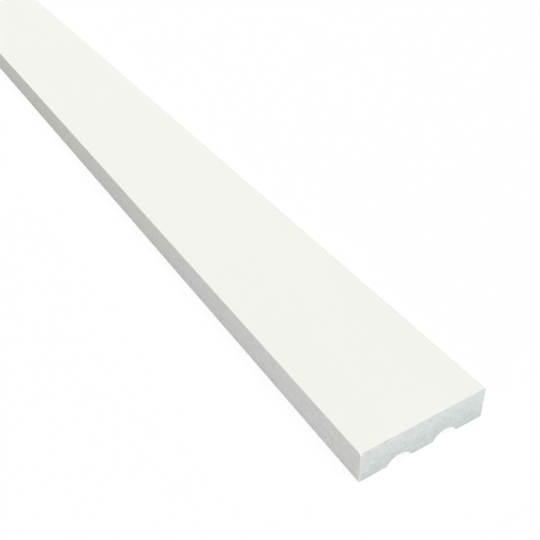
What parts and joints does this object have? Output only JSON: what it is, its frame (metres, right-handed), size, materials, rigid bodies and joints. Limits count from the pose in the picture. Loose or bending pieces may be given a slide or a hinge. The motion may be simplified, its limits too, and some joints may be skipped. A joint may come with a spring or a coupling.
{
  "type": "fibre cement trim board",
  "caption": "Long, straight trim board with a flat primed face, square edges and ends, and rounded relief grooves along its back.",
  "frame": {"origin": "middle of the board's length and width, on the plane of the back that the board lies on", "axes": "+X along the board towards the cut end seen in the picture, +Y across the width away from the long edge seen in the picture, +Z through the thickness towards the good face"},
  "size_m": [2.4, 0.1, 0.026],
  "materials": {
    "primed_fibre_cement": "matte"
  },
  "bodies": {
    "root": {"trim_board": "primed_fibre_cement"}
  },
  "joints": []
}
